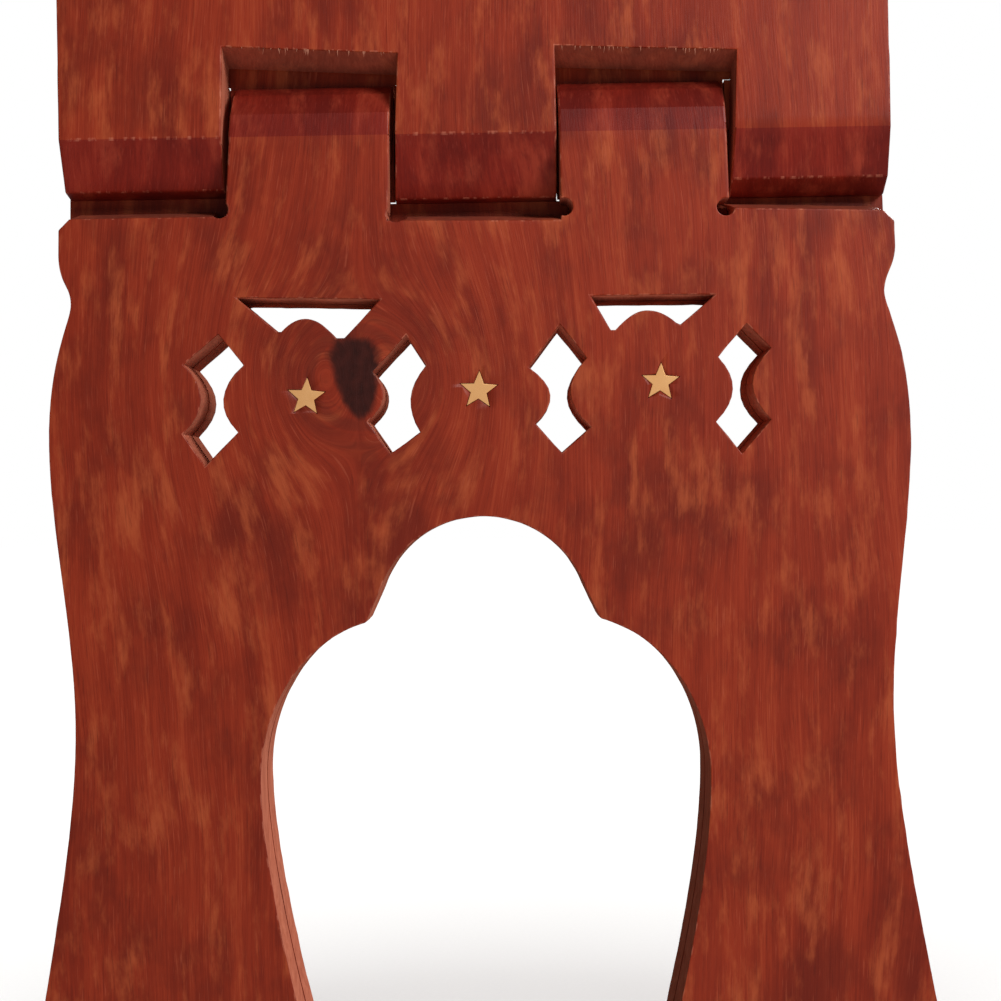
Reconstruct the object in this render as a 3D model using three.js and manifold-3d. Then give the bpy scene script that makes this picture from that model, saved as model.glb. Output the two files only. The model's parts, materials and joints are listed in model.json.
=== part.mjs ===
// A folding book stand carved from one board, hinged without a pin.
//
// Two leaves are sawn out of the same board and stay linked through five knuckles: each leaf is a book
// rest above the hinge and a pair of legs below it, and crosses from one face of the board to the other
// in its own knuckles. Closed, the stand is one flat board; opened, its leaves stand as an X.
//
// Frame: X along the hinge, front at -Y, +Z up. The stand is closed and upright, feet on z = 0, with the
// middle of the board on y = 0. Everything is drawn about the hinge axis and lifted by LEG at the end.
// Sizes are in millimetres.
import * as THREE from "three";
import { mergeVertices } from "three/addons/utils/BufferGeometryUtils.js";
import Module from "manifold-3d";

const wasm = await Module();
wasm.setup();

// The board and the hinge.
const WIDTH = 180; // across the knuckles
const BOARD = 25; // thickness, closed
const LEG = 200; // hinge axis to the soles
const REST = 190; // hinge axis to the crest of the book rest
const KERF = 1.2; // saw cut that parts the leaves
const UNDERCUT = 2.5; // how much nearer the axis a shoulder is at the saw cut than at the outer face
const CORNER_CUT = 2; // off the outer ends of the legs' shoulders
const FIT = 0.2; // width of the cuts behind the middle of the board
const REAR_SHOULDER = 15.5; // distance of the rear shoulders from the axis

// The front shoulders are chopped by hand, one over or under each of the five columns of knuckles. These
// are their distances from the axis at the left and right end of each column.
const SHOULDERS = [
  [17, 17],
  [19.5, 17.5],
  [18.5, 19],
  [18.5, 17],
  [17, 18],
];
const FURTHEST_SHOULDER = 20;

// Each column's knuckle is shaped with a chisel, from its flat face round to its end at 90 degrees. These
// are the edges between its facets, as degrees round the axis and distance from it.
const rounded = (reach) => [24, 50, 74, 90].map((angle) => [angle, reach]);
const FRONT_KNUCKLES = [
  [
    [60, 12.3],
    [90, 11.5],
  ],
  rounded(12.5),
  [
    [70, 14],
    [90, 13.4],
  ],
  rounded(12.5),
  [
    [52, 13],
    [80, 13.5],
    [90, 13.4],
  ],
];
const REAR_KNUCKLE = rounded(13);

// The cuts that part the columns are not quite straight or parallel. These are the left and right sides
// of each one, above the axis and below it, at the furthest shoulder.
const CUTS = [
  { above: [-54.2, -51.9], below: [-55.3, -54.7] },
  { above: [-17.9, -16.3], below: [-19.2, -18.1] },
  { above: [17.7, 18.1], below: [17.7, 18.3] },
  { above: [54, 57], below: [55, 55.5] },
];

// The holes that start those cuts, drilled from the front as far as the saw cut between the leaves.
const DRILL_RADIUS = 1.85;
const DRILL_END = KERF / 4; // behind the middle of the board
const DRILLED = [
  [-55.5, -15.5],
  [-17.5, -17],
  [19, -16.2],
  [54, -16.8],
];

// The book rest's outline.
const COVE = 8; // radius of the hollow at each top corner
const CREST_RISE = 22; // of the curved top edge

// The legs' outer side, as half widths and drops below the axis. It runs upright through each of these
// points, and the pull is how firmly it does so.
const EAR = { half: 90.6, drop: 25, pull: 6 };
const NICK = { half: 88.1, drop: 35.5, pull: 4 };
const BULGE = { half: 93.3, drop: 66, pull: 19 };
const WAIST = { half: 88.6, drop: 126, pull: 21 };
const FLARE = { half: 93.5, drop: 170 }; // where the side aims as it leaves the foot
const FOOT_HALF = 98.7;

// The arch between the legs: a round lobe over a wider one.
const ARCH_TOP_DROP = 83;
const LOBE_RADIUS = 23.5;
const LOBE_END = 20; // degrees above level where the round lobe stops
const CUSP = 25.3; // half width where the wider lobe starts
const HIP = { half: 48.5, drop: 139.5, across: 30.4, up: 35 };
const INSTEP_DROP = 160; // where the inner side turns in to the foot
const LEG_INNER_FOOT = 38.5;

// The pierced band: four hourglasses with a trough on each side of the middle, all sawn freehand.
// Corners are X and Z from the middle of the axis; a waist is the two sides' X at half height.
const HOURGLASSES = [
  {
    top: [-56.2, -42.7],
    right: { upper: [-51, -49.3], lower: [-52.5, -63.8] },
    bottom: [-59.5, -70.8],
    left: { upper: [-63.6, -49], lower: [-64, -64] },
    waist: [-60, -55.5],
  },
  {
    top: [-15.6, -43.6],
    right: { upper: [-11.6, -50], lower: [-13, -64.4] },
    bottom: [-19.5, -68.8],
    left: { upper: [-22.8, -51.2], lower: [-24, -62] },
    waist: [-20.6, -15],
  },
  {
    top: [17.7, -41.8],
    right: { upper: [23.2, -49], lower: [23.8, -64] },
    bottom: [17.7, -69.2],
    left: { upper: [11, -50.7], lower: [12.2, -63] },
    waist: [15.5, 19.6],
  },
  {
    top: [58, -42.3],
    right: { upper: [63, -47.5], lower: [62.8, -63] },
    bottom: [56.6, -70],
    left: { upper: [52, -49.3], lower: [51.3, -63.3] },
    waist: [55, 59],
  },
];
const TROUGHS = [
  {
    top: [-51.8, -34.8],
    topEnd: [-21.3, -35.7],
    floor: [-43.3, -42.1],
    floorEnd: [-29, -43.7],
    bump: { from: [-42.6, -42.1], to: [-30.8, -43.7], rise: 3.5 },
  },
  {
    top: [24.6, -35.7],
    topEnd: [51.1, -35.9],
    floor: [28.8, -42.9],
    floorEnd: [43.7, -42],
    bump: { from: [29.6, -42.9], to: [42.9, -41.6], rise: 3.4 },
  },
];

// The inlaid stars, set by eye.
const STAR = { radius: 4.2, waist: 0.43, thick: 1, corners: 10 };
const STARS = {
  left: { x: -37.4, z: -56.4, turn: -4 },
  centre: { x: -0.1, z: -55.6, turn: -3 },
  right: { x: 39.2, z: -54.5, turn: -3 },
};
const STAR_GAP = 0.12; // all round in its pocket

const HALF = BOARD / 2;
const FRONT = -1;
const REAR = 1;
const COLUMNS = SHOULDERS.length;
const ARC_STEPS = 16; // segments in a round stretch of outline
const DRILL_STEPS = 24; // segments round a drilled hole
const PAST = 1; // how far cutters run past a face
const SAME = 1e-4; // corners closer than this are one corner

const ROSEWOOD = { color: 0x853426, roughness: 0.55, metalness: 0 };
const BRASS = { color: 0xd49650, roughness: 0.35, metalness: 1 };

// A closed geometry as a solid that can be joined and cut.
function solid(geometry) {
  const bare = geometry.clone();
  bare.deleteAttribute("normal");
  bare.deleteAttribute("uv");
  const merged = mergeVertices(bare, SAME);
  return new wasm.Manifold(
    new wasm.Mesh({
      numProp: 3,
      vertProperties: merged.attributes.position.array,
      triVerts: new Uint32Array(merged.index.array),
    }),
  );
}

function named(name, body, look) {
  const { vertProperties, triVerts } = body.getMesh();
  const geometry = new THREE.BufferGeometry();
  geometry.setAttribute("position", new THREE.BufferAttribute(vertProperties, 3));
  geometry.setIndex(new THREE.BufferAttribute(triVerts, 1));
  geometry.computeVertexNormals();
  const mesh = new THREE.Mesh(geometry, new THREE.MeshStandardMaterial(look));
  mesh.name = name;
  return mesh;
}

// An outline drawn in X and Z, run through the board from y = from to y = to.
function thickened(points, from, to) {
  const geometry = new THREE.ExtrudeGeometry(new THREE.Shape(points), {
    depth: to - from,
    bevelEnabled: false,
  });
  return geometry.rotateX(Math.PI / 2).translate(0, to, 0);
}

// Half the board's thickness, from the saw cut to one face.
function panel(points, face) {
  const depth = [face * (KERF / 2), face * HALF].sort((a, b) => a - b);
  return solid(thickened(points, ...depth));
}

function throughBoard(points) {
  return solid(thickened(points, -HALF - PAST, HALF + PAST));
}

const point = (x, z) => new THREE.Vector2(x, z);

// Completes the right half of an outline with its mirror image.
function mirrored(half) {
  const left = half.map((p) => point(-p.x, p.y)).reverse();
  return [...half, ...left.filter((p) => p.x < 0)];
}

function restOutline() {
  const half = new THREE.Path();
  const corner = REST - CREST_RISE;
  const reach = WIDTH / 2 - COVE;
  const crestRadius = (reach ** 2 + CREST_RISE ** 2) / (2 * CREST_RISE);
  half.moveTo(WIDTH / 2, 0);
  half.lineTo(WIDTH / 2, corner - COVE);
  half.absarc(WIDTH / 2, corner, COVE, -Math.PI / 2, -Math.PI, true);
  half.absarc(0, REST - crestRadius, crestRadius, Math.acos(reach / crestRadius), Math.PI / 2);
  return mirrored(half.getPoints(ARC_STEPS / 2));
}

const straightUp = ({ half, drop, pull }) => ({ half, drop: drop - pull });

// Takes the legs' outer side up to its next point, from where it aims at first.
function rise(outline, aim, to) {
  outline.bezierCurveTo(aim.half, -aim.drop, to.half, -to.drop - to.pull, to.half, -to.drop);
}

function legOutline() {
  const half = new THREE.Path();
  const hipCentre = HIP.half - HIP.across;
  const cuspAngle = Math.acos((CUSP - hipCentre) / HIP.across);
  const lobeEnd = THREE.MathUtils.degToRad(LOBE_END);
  half.moveTo(0, -ARCH_TOP_DROP);
  half.absarc(0, -ARCH_TOP_DROP - LOBE_RADIUS, LOBE_RADIUS, Math.PI / 2, lobeEnd, true);
  half.absellipse(hipCentre, -HIP.drop, HIP.across, HIP.up, cuspAngle, 0, true);
  half.quadraticCurveTo(HIP.half, -INSTEP_DROP, LEG_INNER_FOOT, -LEG);
  half.lineTo(FOOT_HALF, -LEG);
  rise(half, FLARE, WAIST);
  rise(half, straightUp(WAIST), BULGE);
  rise(half, straightUp(BULGE), NICK);
  rise(half, straightUp(NICK), EAR);
  half.lineTo(WIDTH / 2, 0);
  return mirrored(half.getPoints(ARC_STEPS));
}

// Where one side (0 left, 1 right) of a cut is at height z, or the stand's outer edge past the last cut.
function sideOf(cut, side, z) {
  if (cut < 0) return -WIDTH / 2;
  if (cut >= CUTS.length) return WIDTH / 2;
  const { above, below } = CUTS[cut];
  const share = (z / FURTHEST_SHOULDER + 1) / 2;
  return below[side] + share * (above[side] - below[side]);
}

// A profile drawn in Y and Z, run along X for the whole width.
function acrossWidth(points) {
  const geometry = new THREE.ExtrudeGeometry(new THREE.Shape(points), {
    depth: WIDTH + 2 * PAST,
    bevelEnabled: false,
  });
  const turn = new THREE.Matrix4().makeBasis(
    new THREE.Vector3(0, 1, 0),
    new THREE.Vector3(0, 0, 1),
    new THREE.Vector3(1, 0, 0),
  );
  return solid(geometry.applyMatrix4(turn).translate(-WIDTH / 2 - PAST, 0, 0));
}

// The same behind the middle of the board, where a cut is narrow and straight. It runs midway between the
// furthest that the knuckles on its two sides come.
function rearSideOf(cut, side) {
  if (cut < 0 || cut >= CUTS.length) return sideOf(cut, side, 0);
  const [left, right] = [0, 1].map((i) => [-HALF, HALF].map((z) => sideOf(cut, i, z)));
  return (Math.max(...left) + Math.min(...right)) / 2 + (side - 0.5) * FIT;
}

// The part of a column between y = from and y = to, in which the cuts' sides are given by the function.
function block(column, side, from, to) {
  const high = FURTHEST_SHOULDER;
  const corner = (cut, i, z) => point(side(cut, i, z), z);
  const left = [corner(column - 1, 1, high), corner(column - 1, 1, -high)];
  return solid(thickened([...left, corner(column, 0, -high), corner(column, 0, high)], from, to));
}

// A knuckle fills its column from cut to cut. It is rounded about the axis where it turns its back on its
// own leaf: over the axis on the side of the legs, and under it on the side of the book rest.
function knuckle(column, restFace) {
  const front = block(column, sideOf, -HALF - PAST, KERF / 2);
  const rear = block(column, rearSideOf, 0, HALF + PAST);
  const profiles = [REAR_KNUCKLE, FRONT_KNUCKLES[column]];
  const [over, under] = restFace === FRONT ? profiles : profiles.reverse();
  const profile = [...quarterTurn(over, 0), ...quarterTurn(under, 180)];
  return front.add(rear).intersect(acrossWidth(profile.map(({ x, y }) => point(-restFace * x, y))));
}

// The corners of a knuckle's profile from one flat face of the board round to the end of its curve.
function quarterTurn(facets, start) {
  return [[0, HALF], ...facets].map(([angle, reach]) => {
    const turn = THREE.MathUtils.degToRad(start + angle);
    return point(reach * Math.cos(turn), reach * Math.sin(turn));
  });
}

// How far out a notch goes on one side (0 left, 1 right). It takes in the whole cut.
function notchSide(column, side, face, z) {
  const cut = column - 1 + side;
  return face === FRONT ? sideOf(cut, side, z) : rearSideOf(cut, side);
}

// What is chopped out of one face of a leaf, above (up = 1) or below (up = -1) the axis, to let in the
// other leaf's knuckle. The shoulder slopes back towards the axis as it goes in.
function notch(column, face, up) {
  const near = -up * (UNDERCUT + PAST);
  const shoulder = face === FRONT ? SHOULDERS[column] : [REAR_SHOULDER, REAR_SHOULDER];
  const [left, right] = shoulder.map((distance) => up * (distance - UNDERCUT));
  const outline = [
    point(notchSide(column, 0, face, near), near),
    point(notchSide(column, 0, face, left), left),
    point(notchSide(column, 1, face, right), right),
    point(notchSide(column, 1, face, near), near),
  ];
  if (column === 0) outline.splice(0, 2, ...outerEnd(-1, near, left));
  if (column === COLUMNS - 1) outline.splice(2, 2, ...outerEnd(1, near, right).reverse());
  const depth = [0, face * (HALF + PAST)].sort((a, b) => a - b);
  const slope = new THREE.Matrix4().makeShear(0, 0, 0, (face * up * UNDERCUT) / HALF, 0, 0);
  return solid(thickened(outline, ...depth).applyMatrix4(slope));
}

// The end of an outer notch, which runs off the side of the board and takes the shoulder's corner with it.
function outerEnd(side, near, shoulder) {
  const away = WIDTH / 2 + FURTHEST_SHOULDER;
  const corner = WIDTH / 2 - CORNER_CUT;
  return [
    point(side * away, near),
    point(side * away, shoulder + Math.sign(shoulder) * (away - corner)),
    point(side * corner, shoulder),
  ];
}

function drilledHole([x, z]) {
  const deep = HALF + PAST + DRILL_END;
  const hole = new THREE.CylinderGeometry(DRILL_RADIUS, DRILL_RADIUS, deep, DRILL_STEPS);
  return solid(hole.translate(x, DRILL_END - deep / 2, z));
}

// One side of an hourglass, where the wood swells in from both corners, furthest at the waist.
function swell(outline, from, waist, to) {
  outline.quadraticCurveTo(2 * waist - (from[0] + to[0]) / 2, (from[1] + to[1]) / 2, ...to);
}

function hourglass({ top, right, bottom, left, waist }) {
  const outline = new THREE.Path();
  outline.moveTo(...top);
  outline.lineTo(...right.upper);
  swell(outline, right.upper, waist[1], right.lower);
  outline.lineTo(...bottom);
  outline.lineTo(...left.lower);
  swell(outline, left.lower, waist[0], left.upper);
  return throughBoard(outline.getPoints(ARC_STEPS / 2));
}

// A trough is wider at the top, with a bump in the middle of its floor.
function trough({ top, topEnd, floor, floorEnd, bump }) {
  const { x, y } = point(...bump.from).lerp(point(...bump.to), 0.5);
  const outline = new THREE.Path();
  outline.moveTo(...top);
  outline.lineTo(...topEnd);
  outline.lineTo(...floorEnd);
  outline.lineTo(...bump.to);
  outline.quadraticCurveTo(x, y + 2 * bump.rise, ...bump.from);
  outline.lineTo(...floor);
  return throughBoard(outline.getPoints(ARC_STEPS));
}

function starPoints({ x, z, turn }, scale) {
  const points = [];
  for (let i = 0; i < STAR.corners; i += 1) {
    const reach = STAR.radius * scale * (i % 2 === 0 ? 1 : STAR.waist);
    const angle = THREE.MathUtils.degToRad(90 + turn + (360 / STAR.corners) * i);
    points.push(point(x + reach * Math.cos(angle), z + reach * Math.sin(angle)));
  }
  return points;
}

// How much a star grows when all its sides move out by the gap.
function pocketScale() {
  const step = (2 * Math.PI) / STAR.corners;
  const tip = point(1, 0);
  const hollow = point(STAR.waist * Math.cos(step), STAR.waist * Math.sin(step));
  const side = (STAR.radius * hollow.y) / tip.distanceTo(hollow);
  return 1 + STAR_GAP / side;
}

function starBody(place, face) {
  const depth = [face * (HALF - STAR.thick), face * HALF].sort((a, b) => a - b);
  return solid(thickened(starPoints(place, 1), ...depth));
}

function starPocket(place, face) {
  const floor = HALF - STAR.thick - STAR_GAP;
  const depth = [face * floor, face * (HALF + PAST)].sort((a, b) => a - b);
  return solid(thickened(starPoints(place, pocketScale()), ...depth));
}

// A leaf has its book rest on one face of the board and its legs, with their stars, on the other. Its own
// knuckles are every second column from the first one.
function leaf(name, firstColumn, restFace) {
  const legFace = -restFace;
  let body = panel(restOutline(), restFace).add(panel(legOutline(), legFace));
  for (let column = 0; column < COLUMNS; column += 1) {
    const own = column % 2 === firstColumn;
    if (own) body = body.add(knuckle(column, restFace));
    else body = body.subtract(notch(column, restFace, 1)).subtract(notch(column, legFace, -1));
  }
  const cutters = [
    ...HOURGLASSES.map(hourglass),
    ...TROUGHS.map(trough),
    ...DRILLED.map(drilledHole),
    ...Object.values(STARS).map((place) => starPocket(place, legFace)),
  ];
  for (const cutter of cutters) body = body.subtract(cutter);
  return named(name, body, ROSEWOOD);
}

function stars(side, face) {
  return Object.entries(STARS).map(([name, place]) =>
    named(`${side}_star_${name}`, starBody(place, face), BRASS),
  );
}

const hinged = new THREE.Group();
hinged.add(leaf("three_knuckle_leaf", 0, FRONT), leaf("two_knuckle_leaf", 1, REAR));
hinged.add(...stars("front", FRONT), ...stars("rear", REAR));
hinged.position.z = LEG;

const stand = new THREE.Group();
stand.add(hinged);

export default stand;
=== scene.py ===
import json
import math
import random

import bmesh
import bpy
from mathutils import Color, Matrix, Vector, noise


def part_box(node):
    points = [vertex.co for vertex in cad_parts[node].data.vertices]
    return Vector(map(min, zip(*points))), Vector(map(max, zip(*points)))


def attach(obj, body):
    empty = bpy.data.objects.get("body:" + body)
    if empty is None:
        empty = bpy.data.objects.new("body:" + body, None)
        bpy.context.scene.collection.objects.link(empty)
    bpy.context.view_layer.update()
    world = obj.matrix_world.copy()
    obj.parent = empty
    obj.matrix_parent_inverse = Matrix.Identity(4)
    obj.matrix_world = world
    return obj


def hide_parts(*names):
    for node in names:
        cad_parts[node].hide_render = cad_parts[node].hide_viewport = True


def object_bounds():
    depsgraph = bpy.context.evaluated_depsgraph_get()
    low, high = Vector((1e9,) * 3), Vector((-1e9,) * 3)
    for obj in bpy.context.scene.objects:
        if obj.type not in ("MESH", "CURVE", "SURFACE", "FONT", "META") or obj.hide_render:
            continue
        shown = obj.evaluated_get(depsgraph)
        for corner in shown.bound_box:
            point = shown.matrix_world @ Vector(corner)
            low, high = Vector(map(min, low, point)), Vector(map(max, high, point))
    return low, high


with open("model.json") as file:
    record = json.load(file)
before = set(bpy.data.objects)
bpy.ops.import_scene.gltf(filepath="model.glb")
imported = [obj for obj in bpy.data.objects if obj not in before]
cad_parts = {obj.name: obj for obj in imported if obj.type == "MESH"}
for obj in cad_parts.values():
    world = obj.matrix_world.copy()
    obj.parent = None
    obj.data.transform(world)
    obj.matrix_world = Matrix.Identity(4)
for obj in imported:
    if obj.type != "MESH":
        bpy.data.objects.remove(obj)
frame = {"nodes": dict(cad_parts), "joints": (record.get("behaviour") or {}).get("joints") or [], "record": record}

MM = 0.001
CAD_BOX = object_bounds()
FRONT = CAD_BOX[0].y
AXIS = Vector(next(joint for joint in frame["joints"] if joint["name"] == "leaf_hinge")["pos_m"])

# The camera stands in front of the band of fretwork, turned by a degree.
EYE = Vector((4.2 * MM, FRONT - 450 * MM, 120.5 * MM))
SEEN_WIDTH = 216.2 * MM
ROLL = math.radians(1)

# The studio. Each light stands in that direction from the hinge, and an area light also at that distance.
KEY = {"kind": "AREA", "at": Vector((0.54, -0.6, 0.4)), "energy": 6.8, "size": 0.3}
BACK = {"kind": "AREA", "at": Vector((0.42, 0.78, 0.35)), "energy": 7, "size": 0.3}
BOUNCE = {"kind": "SUN", "at": Vector((0.1, -0.8, -0.6)), "energy": 1.45, "angle": math.radians(60)}
OVERHEAD = {"kind": "SUN", "at": Vector((0, 0, 1)), "energy": 3.8, "angle": math.radians(70)}
AMBIENT = 0.11
FLOOR_REACH = 6

# How the meshes are read: nearer points are one, flatter edges go and sharper ones stay sharp.
SAME_POINT = 0.06 * MM
FLAT = math.radians(1)
SHARP = math.radians(30)

# How close counts as being at something, and how far apart the cuts through flat faces are.
NEAR = 1 * MM
GRID = 2.5 * MM

# How far over and under the hinge the knuckles and the notches round them reach.
KNUCKLES_WITHIN = 16 * MM
NOTCHES_WITHIN = 23 * MM

# The widths of the rounded edges, and the depth and length of the waves that each tool left.
LEAF_EDGE = 0.4 * MM
STAR_EDGE = 0.15 * MM
PLANED = {"depth": 0.16 * MM, "size": Vector((38, 20, 60)) * MM}
SAWN = {"depth": 0.3 * MM, "size": Vector((4, 9, 4)) * MM}
CHOPPED = {"depth": 0.06 * MM, "size": Vector((5, 5, 5)) * MM}

# The outer sides and the crest, from the hinge, were sanded after they were sawn.
SIDES_FROM = 80 * MM
CREST_FROM = 150 * MM
SANDED = 0.3

# Fibres torn at the front edges of the shoulders over the notches.
SHOULDERS_FROM = 10 * MM
FIBRE = {"spacing": 1.3 * MM, "longest": 1.3 * MM, "widest": 0.35 * MM, "thick": 0.15 * MM}

# Each leaf's knuckles are rounded at the front over the axis (1) or under it (-1).
ROUNDED = {"standing_leaf": 1, "swinging_leaf": -1}

# The knot, in millimetres across and up from the hinge. It leans and narrows downwards, and the grain
# parts round it at that distance.
KNOT = {"x": -26.3, "z": -52.3, "half_width": 4.3, "half_height": 8.6, "lean": -0.1, "taper": 0.18}
GRAIN_PARTS = 19


def colour(red, green, blue):
    """An sRGB colour, each channel up to 255, as linear RGBA."""
    linear = Color((red / 255, green / 255, blue / 255)).from_srgb_to_scene_linear()
    return (*linear, 1)


class Graph:
    """A material's nodes. Their inputs are numbers, colours or the outputs of other nodes."""

    def __init__(self, name):
        self.material = bpy.data.materials.new(name)
        self.material.use_nodes = True
        self.tree = self.material.node_tree
        self.shader = self.tree.nodes["Principled BSDF"]

    def plug(self, socket, value):
        if isinstance(value, bpy.types.NodeSocket):
            self.tree.links.new(value, socket)
        else:
            socket.default_value = value

    def add(self, kind, inputs, **settings):
        node = self.tree.nodes.new("ShaderNode" + kind)
        for key, value in settings.items():
            setattr(node, key, value)
        for key, value in inputs.items():
            self.plug(node.inputs[key], value)
        return node

    def finish(self, inputs):
        for key, value in inputs.items():
            self.plug(self.shader.inputs[key], value)
        return self.material

    def math(self, operation, *values):
        return self.add("Math", dict(enumerate(values)), operation=operation).outputs[0]

    def plus(self, a, b):
        return self.math("ADD", a, b)

    def times(self, a, b):
        return self.math("MULTIPLY", a, b)

    def step(self, value, low, high):
        """0 up to low, 1 from high on and smooth between them."""
        limits = {"Value": value, "From Min": low, "From Max": high}
        return self.add("MapRange", limits, interpolation_type="SMOOTHSTEP").outputs[0]

    def fade(self, value, low, high):
        """1 up to low, 0 from high on and smooth between them."""
        return self.math("SUBTRACT", 1, self.step(value, low, high))

    def noise(self, place, size, detail=2, roughness=0.5):
        """Noise from 0 to 1 whose features are that long each way, in the unit of the place."""
        along = [self.math("DIVIDE", value, length) for value, length in zip(place, size)]
        vector = self.add("CombineXYZ", dict(enumerate(along))).outputs[0]
        inputs = {"Vector": vector, "Scale": 1, "Detail": detail, "Roughness": roughness}
        return self.add("TexNoise", inputs).outputs["Fac"]

    def mix(self, share, a, b, blend="MIX"):
        """A mix of two colours. The node's inputs 6 and 7 and its output 2 are those for colours."""
        return self.add("Mix", {0: share, 6: a, 7: b}, data_type="RGBA", blend_type=blend).outputs[2]

    def tint(self, shade, mask, strength, over):
        """The shade with another laid over it, at that strength where the mask is 1."""
        return self.mix(self.times(mask, strength), shade, over)

    def ramp(self, value, stops):
        """A colour that runs through the stops, each a position and a colour."""
        node = self.add("ValToRGB", {"Fac": value})
        elements = node.color_ramp.elements
        while len(elements) < len(stops):
            elements.new(1)
        for element, (position, shade) in zip(elements, stops):
            element.position = position
            element.color = shade
        return node.outputs["Color"]

    def attribute(self, name):
        return self.add("Attribute", {}, attribute_name=name).outputs["Fac"]

    def from_hinge(self):
        """The place on the piece, as millimetres across, back and up from the hinge."""
        here = self.add("TexCoord", {}).outputs["Object"]
        inputs = {"Vector": here, "Location": -AXIS / MM, "Scale": (1 / MM,) * 3}
        moved = self.add("Mapping", inputs).outputs[0]
        return self.add("SeparateXYZ", {"Vector": moved}).outputs[:3]

    def bump(self, height, distance, strength=1, normal=None):
        inputs = {"Height": height, "Distance": distance, "Strength": strength}
        if normal is not None:
            inputs["Normal"] = normal
        return self.add("Bump", inputs).outputs[0]


def add_camera():
    camera = bpy.data.objects.new("camera", bpy.data.cameras.new("camera"))
    bpy.context.scene.collection.objects.link(camera)
    camera.location = EYE
    camera.rotation_euler = (math.pi / 2, ROLL, 0)
    camera.data.lens = camera.data.sensor_width * (FRONT - EYE.y) / SEEN_WIDTH
    camera.data.clip_start = 10 * MM
    bpy.context.scene.camera = camera


def paper():
    graph = Graph("paper")
    here = graph.add("TexCoord", {}).outputs["Object"]
    grain = graph.add("TexNoise", {"Vector": here, "Scale": 900}).outputs["Fac"]
    shade = graph.mix(grain, (0.86, 0.86, 0.85, 1), (0.9, 0.9, 0.89, 1))
    return graph.finish({"Base Color": shade, "Roughness": 0.9})


def add_floor():
    """A pale floor that takes shadows and throws no light on the stand."""
    bm = bmesh.new()
    bmesh.ops.create_grid(bm, x_segments=1, y_segments=1, size=FLOOR_REACH)
    mesh = bpy.data.meshes.new("floor")
    bm.to_mesh(mesh)
    bm.free()
    mesh.materials.append(paper())
    floor = bpy.data.objects.new("floor", mesh)
    bpy.context.scene.collection.objects.link(floor)
    floor.visible_diffuse = False
    floor.visible_glossy = False
    floor.visible_shadow = False
    return floor


def add_lamp(name, lit, kind, at, **settings):
    """A light that falls only on the objects in lit. They mirror it if it is an area light."""
    data = bpy.data.lights.new(name, kind)
    for key, value in settings.items():
        setattr(data, key, value)
    lamp = bpy.data.objects.new(name, data)
    bpy.context.scene.collection.objects.link(lamp)
    lamp.location = AXIS + at
    lamp.visible_glossy = kind == "AREA"
    lamp.rotation_mode = "QUATERNION"
    lamp.rotation_quaternion = at.to_track_quat("Z", "Y")
    receivers = bpy.data.collections.new(name + "_receivers")
    for item in lit:
        receivers.objects.link(item)
    lamp.light_linking.receiver_collection = receivers


def add_sky():
    """A white backdrop all round that lights the scene only faintly."""
    world = bpy.data.worlds.new("studio")
    bpy.context.scene.world = world
    world.use_nodes = True
    tree = world.node_tree
    path = tree.nodes.new("ShaderNodeLightPath")
    strength = tree.nodes.new("ShaderNodeMapRange")
    strength.inputs["To Min"].default_value = AMBIENT
    tree.links.new(path.outputs["Is Camera Ray"], strength.inputs["Value"])
    tree.links.new(strength.outputs[0], tree.nodes["Background"].inputs["Strength"])
    tree.nodes["Background"].inputs["Color"].default_value = (1, 1, 1, 1)
    bpy.context.scene.view_settings.view_transform = "Standard"


def knot_and_flow(graph, x, z):
    """The distance from the knot, and the place across the grain as the grain flows round the knot."""
    off_x = graph.math("SUBTRACT", x, KNOT["x"])
    off_z = graph.math("SUBTRACT", z, KNOT["z"])
    squared = graph.plus(graph.times(off_x, off_x), graph.times(off_z, off_z))
    reach = GRAIN_PARTS**2
    core = 0.35 * reach
    pushed = graph.math("DIVIDE", reach, graph.plus(squared, core))
    across = graph.times(off_x, graph.math("SUBTRACT", 1, pushed))
    return graph.math("SQRT", squared), across


def in_the_knot(graph, x, y, z):
    """1 in the dark wedge at the heart of the knot and 0 outside it."""
    up = graph.math("SUBTRACT", z, KNOT["z"])
    middle = graph.plus(KNOT["x"], graph.times(up, KNOT["lean"]))
    half_width = graph.plus(KNOT["half_width"], graph.times(up, KNOT["taper"]))
    across = graph.math("DIVIDE", graph.math("SUBTRACT", x, middle), half_width)
    along = graph.math("DIVIDE", up, KNOT["half_height"])
    around = graph.plus(graph.times(across, across), graph.math("POWER", along, 4))
    ragged = graph.plus(around, graph.noise((x, y, z), (1.7, 5, 2.8), detail=5))
    return graph.fade(ragged, 1.15, 2.2)


def figured(graph, place, grain, fine):
    """The planed wood's colour: streaks and lighter flames along the grain, and clouds across it."""
    band = graph.noise(grain, (5, 14, 90), detail=3)
    tone = graph.plus(graph.times(fine, 0.5), graph.times(band, 0.5))
    stops = [
        (0.34, colour(112, 32, 18)),
        (0.48, colour(130, 40, 21)),
        (0.56, colour(142, 47, 25)),
        (0.68, colour(162, 66, 36)),
    ]
    shade = graph.ramp(tone, stops)
    cloud = graph.noise(place, (15, 20, 26), detail=4, roughness=0.6)
    shade = graph.tint(shade, graph.step(cloud, 0.45, 0.7), 0.7, colour(98, 28, 17))
    shade = graph.tint(shade, graph.fade(cloud, 0.25, 0.55), 0.4, colour(150, 50, 27))
    flame = graph.noise(grain, (6, 12, 22), detail=5, roughness=0.65)
    return graph.tint(shade, graph.step(flame, 0.48, 0.7), 0.65, colour(176, 82, 46))


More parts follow.
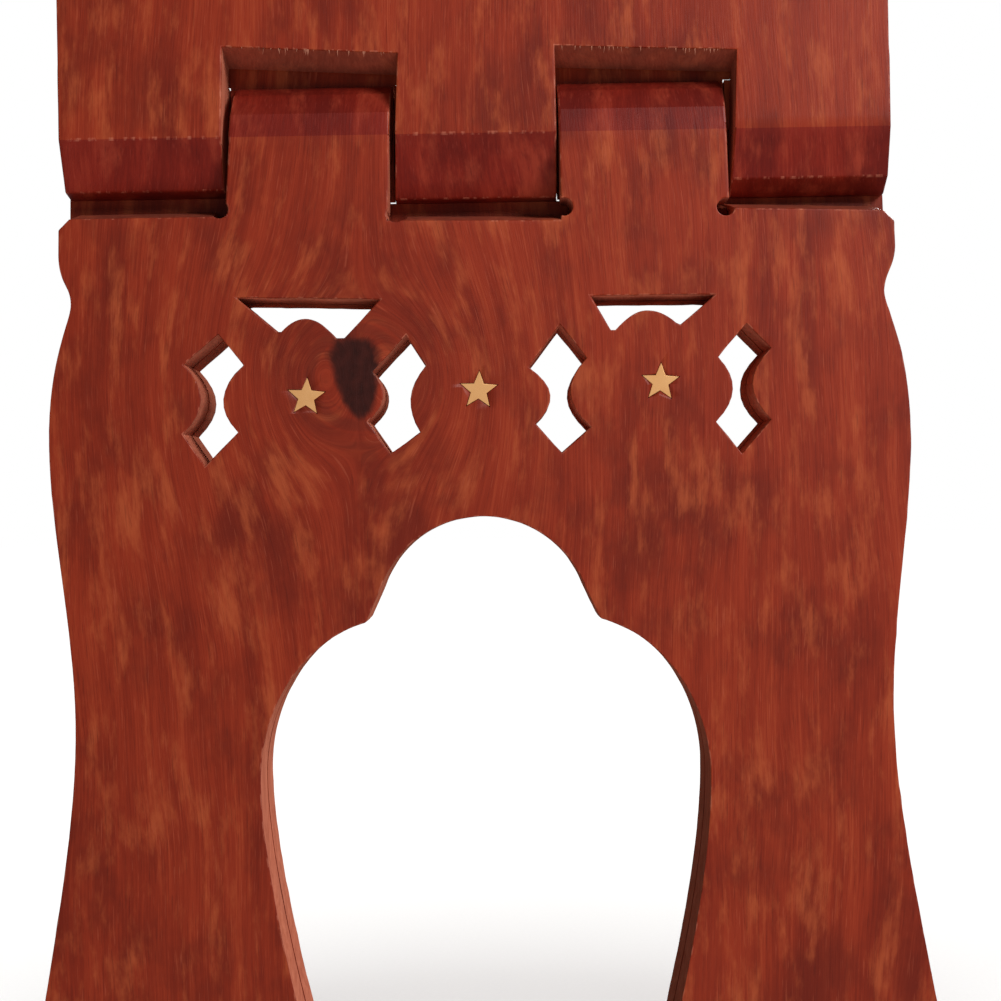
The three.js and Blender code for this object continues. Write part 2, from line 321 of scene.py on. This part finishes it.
def ringed(graph, shade, distance, sway, y):
    """The shade with dark rings round the knot."""
    rings = graph.noise((distance, sway, y), (2.2, 0.12, 9), detail=4)
    near_knot = graph.fade(distance, 6, 24)
    dark = graph.times(near_knot, graph.fade(rings, 0.34, 0.6))
    return graph.tint(shade, dark, 0.5, colour(84, 30, 20))


def tooled(graph, shade, place, fine):
    """The shade as the tools and hands left it: crimson where chisel-cut, partly stain soaked into end grain and
    partly painted shade on facets and notch walls turned from the light; paler where sawn; paler in patches on the
    rounded edges, partly wear from rubbing and partly a painted edge highlight.
    """
    # Painted shade: chisel-cut knuckle facets and notch walls are multiplied darker crimson, partly the stain
    # soaking into end grain and partly shade from the light above.
    shade = graph.mix(graph.attribute("chiselled_painted_shade"), shade, colour(226, 190, 220), blend="MULTIPLY")
    raw = graph.mix(fine, colour(150, 66, 46), colour(238, 152, 122))
    shade = graph.tint(shade, graph.attribute("sawn"), 0.75, raw)
    # Painted highlight: the rounded edges go paler in patches, partly wear from rubbing and partly a highlight
    # painted along them.
    rubbed_and_painted_highlight = graph.step(graph.noise(place, (1.2, 2, 3), detail=3), 0.5, 0.66)
    return graph.tint(shade, graph.times(graph.attribute("worn_and_painted_highlight"), rubbed_and_painted_highlight), 0.35, raw)


def rosewood():
    graph = Graph("rosewood")
    place = graph.from_hinge()
    x, y, z = place
    distance, across = knot_and_flow(graph, x, z)
    sway = graph.math("SUBTRACT", graph.noise(place, (60, 50, 120)), 0.5)
    grain = (graph.plus(across, graph.times(sway, 14)), y, z)
    fine = graph.noise(grain, (0.5, 4, 24), detail=5, roughness=0.7)
    pores = graph.noise(grain, (0.25, 1.5, 6), detail=1)

    shade = figured(graph, place, grain, fine)
    shade = ringed(graph, shade, distance, sway, y)
    shade = graph.tint(shade, graph.step(pores, 0.62, 0.74), 0.3, colour(74, 22, 15))
    shade = graph.tint(shade, graph.fade(pores, 0.26, 0.35), 0.2, colour(188, 96, 68))
    heart = graph.mix(graph.noise(place, (2, 3, 3), detail=4), colour(26, 8, 6), colour(72, 27, 20))
    shade = graph.mix(in_the_knot(graph, x, y, z), shade, heart)
    shade = tooled(graph, shade, place, fine)

    roughness = graph.add("MapRange", {"Value": fine, "To Min": 0.38, "To Max": 0.54}).outputs[0]
    gloss = graph.times(graph.math("SUBTRACT", 1, graph.attribute("sawn")), 0.25)
    normal = graph.bump(fine, 0.1 * MM, 0.4)
    normal = graph.bump(pores, 0.05 * MM, 0.4, normal)
    inputs = {"Base Color": shade, "Roughness": roughness, "Specular IOR Level": gloss, "Normal": normal}
    return graph.finish(inputs)


def torn_wood():
    graph = Graph("torn_wood")
    place = graph.from_hinge()
    strands = graph.noise(place, (0.1, 0.3, 1.5), detail=2)
    shade = graph.mix(strands, colour(110, 48, 34), colour(196, 130, 102))
    return graph.finish({"Base Color": shade, "Roughness": 0.8})


def brass():
    graph = Graph("brass")
    place = graph.from_hinge()
    brushed = graph.noise(place, (0.08, 0.5, 2.5), detail=3)
    tarnish = graph.noise(place, (2, 2, 2), detail=3)
    shade = graph.mix(tarnish, colour(232, 168, 104), colour(244, 186, 124))
    roughness = graph.add("MapRange", {"Value": brushed, "To Min": 0.35, "To Max": 0.55}).outputs[0]
    normal = graph.bump(brushed, 0.02 * MM, 0.4)
    inputs = {"Base Color": shade, "Metallic": 0.35, "Roughness": roughness, "Normal": normal}
    return graph.finish(inputs)


def is_in(place, low, high):
    """Whether the place is in the box, or just outside it."""
    return all(least - NEAR < value < most + NEAR for least, value, most in zip(low, place, high))


def is_handled(edge, inlays):
    """Whether hands reach the edge. They don't between the leaves, behind the knuckles or at an inlay."""
    middle = edge.verts[0].co.lerp(edge.verts[1].co, 0.5)
    y, z = (middle - AXIS).yz
    hidden = abs(y) < NEAR or (y > 0 and abs(z) < KNUCKLES_WITHIN)
    inlaid = any(is_in(middle, *box) for box in inlays)
    return edge.is_convex and edge.calc_face_angle() > SHARP and not hidden and not inlaid


def merged(node):
    """The node's solid with whole faces in place of their triangles."""
    bm = bmesh.new()
    bm.from_mesh(frame["nodes"][node].data)
    bmesh.ops.remove_doubles(bm, verts=bm.verts, dist=SAME_POINT)
    bmesh.ops.dissolve_degenerate(bm, dist=SAME_POINT / 10, edges=bm.edges)
    bmesh.ops.dissolve_limit(bm, angle_limit=FLAT, verts=bm.verts, edges=bm.edges)
    return bm


def softened(node, width, inlays=()):
    """The node's solid with its outer edges rounded over, and marked there for paler patches, partly wear and
    partly a painted highlight along the edges.
    """
    bm = merged(node)
    worn_and_painted_highlight = bm.faces.layers.float.new("worn_and_painted_highlight")
    edges = [edge for edge in bm.edges if is_handled(edge, inlays)]
    rounded = bmesh.ops.bevel(bm, geom=edges, offset=width, segments=2, profile=0.5, affect="EDGES")
    for face in rounded["faces"]:
        face[worn_and_painted_highlight] = 1
    return bm


def gridded(bm, low, high):
    """Cuts the mesh across and up, so that its flat faces have points to move."""
    for axis in (0, 2):
        for i in range(1, int((high[axis] - low[axis]) / GRID) + 1):
            where = low[axis] + i * GRID
            bmesh.ops.bisect_plane(
                bm,
                geom=bm.verts[:] + bm.edges[:] + bm.faces[:],
                dist=SAME_POINT / 100,
                plane_co=[where] * 3,
                plane_no=[float(other == axis) for other in range(3)],
            )


def mark_surfaces(bm, rounded):
    """Says which faces were left by the saw and which by the chisel. The chisel's mark also carries painted shade
    on the knuckle facets and notch walls that turn from the light.
    """
    sawn = bm.faces.layers.float.new("sawn")
    chiselled_painted_shade = bm.faces.layers.float.new("chiselled_painted_shade")
    bm.normal_update()
    for face in bm.faces:
        middle = face.calc_center_median() - AXIS
        # 1 on a face square to the board's front and back, and 0 on one within 60 degrees of them.
        edge_on = max(0, 1 - 2 * abs(face.normal.y))
        if abs(middle.z) > NOTCHES_WITHIN or abs(face.normal.x) > 0.5:
            outer = abs(middle.x) > SIDES_FROM or middle.z > CREST_FROM
            face[sawn] = edge_on * (SANDED if outer else 1)
        # Knuckle fronts and notch walls take the chisel mark, which also darkens them with painted shade.
        elif middle.y < 0 and 0 < rounded * middle.z < KNUCKLES_WITHIN:
            face[chiselled_painted_shade] = 1
        else:
            face[chiselled_painted_shade] = edge_on
            face[sawn] = edge_on / 2


def weathered(bm, low, high, inlays):
    """Moves the mesh's points in, so that planed faces aren't quite flat and sawn ones are ragged."""
    moves = []
    for vert in bm.verts:
        place = vert.co - AXIS
        out = vert.normal
        # The rim of a star's pocket moves straight back, so that the star still fits it.
        if any(is_in(vert.co, *box) for box in inlays):
            out = Vector((0, math.copysign(1, out.y), 0))
        by_saw = CHOPPED if abs(place.z) < KNUCKLES_WITHIN else SAWN
        cut = by_saw if abs(out.y) < 0.5 else PLANED
        size = cut["size"]
        wave = noise.noise(Vector((place.x / size.x, place.y / size.y, place.z / size.z)))
        moves.append(out * (-cut["depth"] * (0.5 + 0.5 * wave)))
    for vert, move in zip(bm.verts, moves):
        moved = zip(vert.co + move, low, high)
        vert.co = [min(max(value, least), most) for value, least, most in moved]


def piece(name, bm, material):
    mesh = bpy.data.meshes.new(name)
    bm.to_mesh(mesh)
    bm.free()
    mesh.materials.append(material)
    mesh.shade_smooth()
    mesh.set_sharp_from_angle(angle=SHARP)
    made = bpy.data.objects.new(name, mesh)
    bpy.context.scene.collection.objects.link(made)
    weighted = made.modifiers.new("flat faces", "WEIGHTED_NORMAL")
    weighted.keep_sharp = True
    return made


def stand_in(node, body, made):
    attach(made, body)
    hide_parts(node)
    return made


def carved_leaf(node, body, material):
    inlays = [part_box(other) for other in frame["nodes"] if "star" in other]
    bm = softened(node, LEAF_EDGE, inlays)
    gridded(bm, *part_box(node))
    mark_surfaces(bm, ROUNDED[body])
    weathered(bm, *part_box(node), inlays)
    return stand_in(node, body, piece(node + "_carved", bm, material))


def torn_edges(bm):
    """The front edges of the shoulders over the notches, on either side of the board's middle."""
    found = []
    for edge in bm.edges:
        front, shoulder = sorted((face.normal for face in edge.link_faces), key=lambda normal: normal.y)
        near = abs(edge.verts[0].co.z - AXIS.z) < NOTCHES_WITHIN
        if near and front.y < -0.99 and shoulder.z < -0.9 and edge.calc_length() > SHOULDERS_FROM:
            found.append(edge)
    return found


def add_fibre(bm, root, tip, width):
    """A sliver that tapers from its root to its tip."""
    steps = ((-width / 2, 0, 0), (width / 2, 0, 0), (0, FIBRE["thick"], 0))
    corners = [root + Vector(step) for step in steps]
    foot = [bm.verts.new(corner) for corner in corners]
    end = bm.verts.new(tip)
    bm.faces.new(foot)
    for i in range(3):
        bm.faces.new((foot[i], end, foot[(i + 1) % 3]))


def torn_fibres(node, body, material):
    """Slivers of wood left hanging over the notches."""
    leaf = merged(node)
    leaf.normal_update()
    pick = random.Random(node)
    bm = bmesh.new()
    inward = Vector((0, LEAF_EDGE / 2, 0))
    for edge in torn_edges(leaf):
        start, end = (vert.co for vert in edge.verts)
        for _ in range(int(edge.calc_length() / FIBRE["spacing"])):
            root = start.lerp(end, pick.uniform(0.02, 0.98)) + inward
            length = FIBRE["longest"] * pick.random() ** 2
            width = FIBRE["widest"] * pick.uniform(0.3, 1)
            tip = root - Vector((pick.uniform(-0.3, 0.3) * length, 0, length + LEAF_EDGE / 2))
            add_fibre(bm, root + Vector((0, 0, LEAF_EDGE)), tip, width)
    leaf.free()
    bmesh.ops.recalc_face_normals(bm, faces=bm.faces)
    made = piece(node + "_fibres", bm, material)
    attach(made, body)
    return made


def inlaid_star(node, body, material):
    bm = softened(node, STAR_EDGE)
    return stand_in(node, body, piece(node + "_inlaid", bm, material))


def build_stand():
    wood = rosewood()
    torn = torn_wood()
    metal = brass()
    made = []
    for body, nodes in frame["record"]["behaviour"]["bodies"].items():
        for node in nodes:
            if "leaf" in node:
                made.append(carved_leaf(node, body, wood))
                made.append(torn_fibres(node, body, torn))
            else:
                made.append(inlaid_star(node, body, metal))
    return made


add_camera()
stand = build_stand()
add_lamp("key", stand, **KEY)
add_lamp("back", stand, **BACK)
add_lamp("bounce", stand, **BOUNCE)
add_lamp("overhead", [add_floor()], **OVERHEAD)
add_sky()
